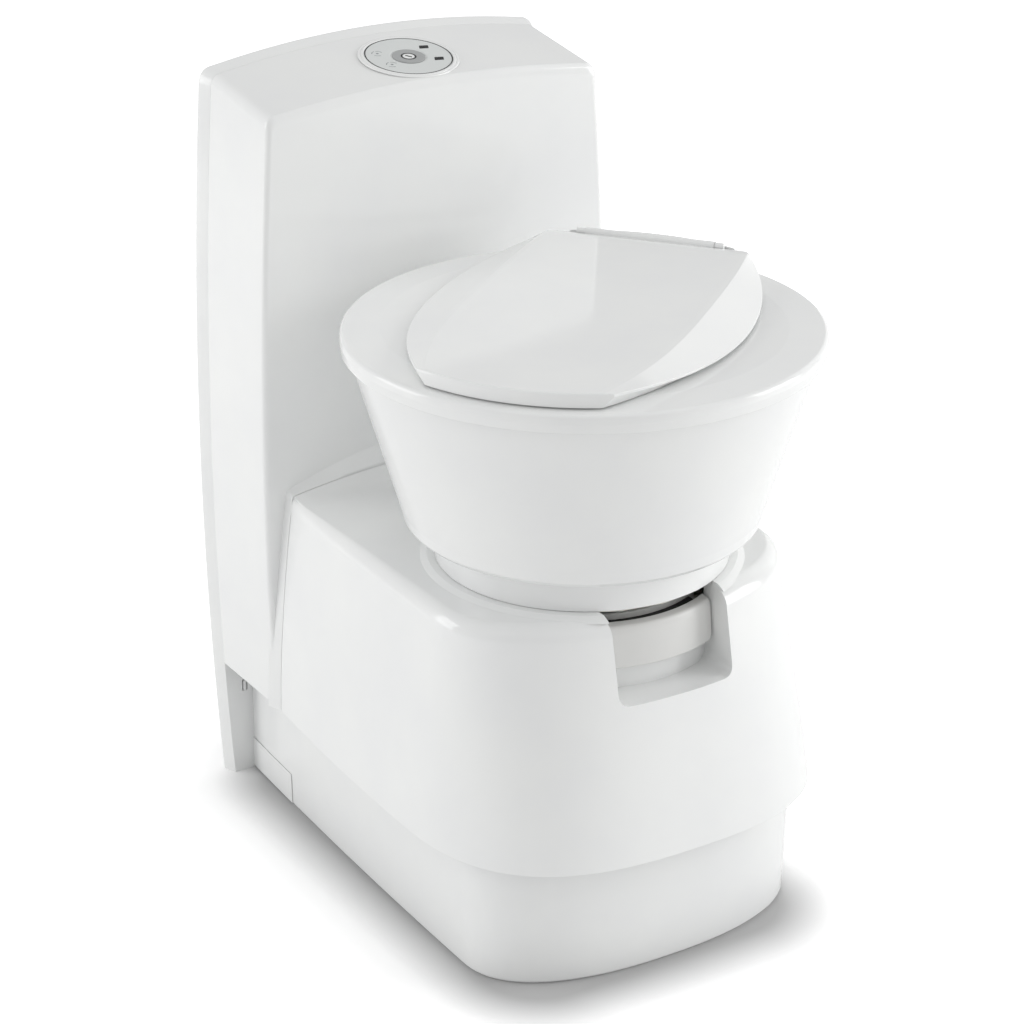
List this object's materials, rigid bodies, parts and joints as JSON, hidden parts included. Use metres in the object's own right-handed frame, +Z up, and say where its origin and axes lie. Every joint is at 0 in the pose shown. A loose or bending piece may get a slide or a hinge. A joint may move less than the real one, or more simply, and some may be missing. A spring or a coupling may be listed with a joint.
{
  "type": "cassette toilet",
  "caption": "Free-standing cassette toilet: water tower at the back, swivelling round bowl with seat and lid, pull handle that opens the waste valve.",
  "frame": {"origin": "on the floor under the centre of the whole toilet's box", "axes": "+Z up, -Y the front towards the user, +X the user's left when seated"},
  "size_m": [0.4132, 0.5686, 0.7175],
  "materials": {
    "white_moulding": "gloss moulded white",
    "bowl_glaze": "glazed white",
    "handle_grey": "satin moulded warm grey",
    "panel_grey": "satin",
    "button_grey": "satin",
    "black_plastic": "moulded",
    "mechanism_grey": "moulded acetal",
    "tank_grey": "blow moulded",
    "water_tank": "blow moulded natural",
    "rubber_black": "moulded",
    "pin_steel": "ground"
  },
  "bodies": {
    "stand": {"tower_shell": "white_moulding", "rear_frame": "white_moulding", "base_housing": "white_moulding", "plinth": "white_moulding", "plinth_cover_left": "white_moulding", "plinth_cover_right": "white_moulding", "panel_bezel": "panel_grey", "panel_disc": "panel_grey", "level_lens_1": "black_plastic", "level_lens_2": "black_plastic", "panel_electronics": "black_plastic", "flush_tank": "water_tank", "flush_pump": "black_plastic", "pinion_pin": "pin_steel", "rack_guide": "mechanism_grey", "swivel_bearing": "mechanism_grey"},
    "handle": {"blade_handle": "handle_grey", "handle_rack": "mechanism_grey"},
    "pinion": {"drive_pinion": "mechanism_grey"},
    "button": {"flush_button": "button_grey"},
    "bowl": {"bowl_skirt": "white_moulding", "inner_bowl": "bowl_glaze", "spray_nozzle": "mechanism_grey", "hinge_cover": "white_moulding", "hinge_pin": "pin_steel"},
    "seat": {"seat_ring": "white_moulding", "seat_pad_1": "rubber_black", "seat_pad_2": "rubber_black", "seat_pad_3": "rubber_black", "seat_pad_4": "rubber_black"},
    "lid": {"lid": "white_moulding"},
    "tank": {"waste_tank": "tank_grey", "valve_cover": "tank_grey", "mouth_seal": "rubber_black", "wheel_axle": "pin_steel"},
    "valve": {"valve_blade": "mechanism_grey"},
    "spout": {"pour_spout": "black_plastic"},
    "cap": {"spout_cap": "mechanism_grey"},
    "vent": {"vent_button": "mechanism_grey"},
    "bail": {"carry_handle": "black_plastic"},
    "wheel_l": {"wheel_left": "rubber_black"},
    "wheel_r": {"wheel_right": "rubber_black"}
  },
  "joints": [
    {"name": "bowl_swivel", "type": "hinge", "parent": "stand", "child": "bowl", "pos_m": [0, -0.0777, 0.33], "axis": [0, 0, 1], "range_deg": [-38.6, 141.4]},
    {"name": "seat_hinge", "type": "hinge", "parent": "bowl", "child": "seat", "pos_m": [0.1462, 0.0389, 0.557], "axis": [-0.6235, 0.7818, 0], "range_deg": [0, 72]},
    {"name": "lid_hinge", "type": "hinge", "parent": "seat", "child": "lid", "pos_m": [0.1462, 0.0389, 0.557], "axis": [-0.6235, 0.7818, 0], "range_deg": [0, 98]},
    {"name": "handle_slide", "type": "slide", "parent": "stand", "child": "handle", "axis": [0, -1, 0], "range_m": [0, 0.0376]},
    {"name": "pinion_turn", "type": "hinge", "parent": "stand", "child": "pinion", "pos_m": [0.078, -0.0777, 0.288], "axis": [0, 0, -1], "range_deg": [0, 90]},
    {"name": "button_press", "type": "slide", "parent": "stand", "child": "button", "axis": [0, 0.1551, -0.9879], "range_m": [0, 0.0015], "stiffness_N_per_m": 300, "springref_m": -0.001},
    {"name": "tank_slide", "type": "slide", "parent": "stand", "child": "tank", "axis": [0, 1, 0], "range_m": [0, 0.45]},
    {"name": "blade_turn", "type": "hinge", "parent": "tank", "child": "valve", "pos_m": [0.078, -0.0777, 0.2455], "axis": [0, 0, -1], "range_deg": [0, 90]},
    {"name": "spout_swing", "type": "hinge", "parent": "tank", "child": "spout", "pos_m": [-0.09848, 0.2123, 0.132], "axis": [0, 0, 1], "range_deg": [0, 90]},
    {"name": "cap_turn", "type": "hinge", "parent": "spout", "child": "cap", "pos_m": [-0.0502, 0.2123, 0.176], "axis": [1, 0, 0], "range_deg": [0, 90]},
    {"name": "vent_press", "type": "slide", "parent": "tank", "child": "vent", "axis": [0, 0, -1], "range_m": [0, 0.002], "stiffness_N_per_m": 300, "springref_m": -0.001},
    {"name": "bail_lift", "type": "hinge", "parent": "tank", "child": "bail", "pos_m": [0.0657, 0.2673, 0.1952], "axis": [1, 0, 0], "range_deg": [0, 90]},
    {"name": "wheel_left_spin", "type": "hinge", "parent": "tank", "child": "wheel_l", "pos_m": [-0.137, -0.0617, 0.017], "axis": [1, 0, 0], "continuous": true},
    {"name": "wheel_right_spin", "type": "hinge", "parent": "tank", "child": "wheel_r", "pos_m": [0.137, -0.0617, 0.017], "axis": [1, 0, 0], "continuous": true}
  ],
  "couplings": [
    {"joint": "pinion_turn", "follows": "handle_slide", "rad_per_m": 41.667},
    {"joint": "blade_turn", "follows": "handle_slide", "rad_per_m": 41.667}
  ]
}
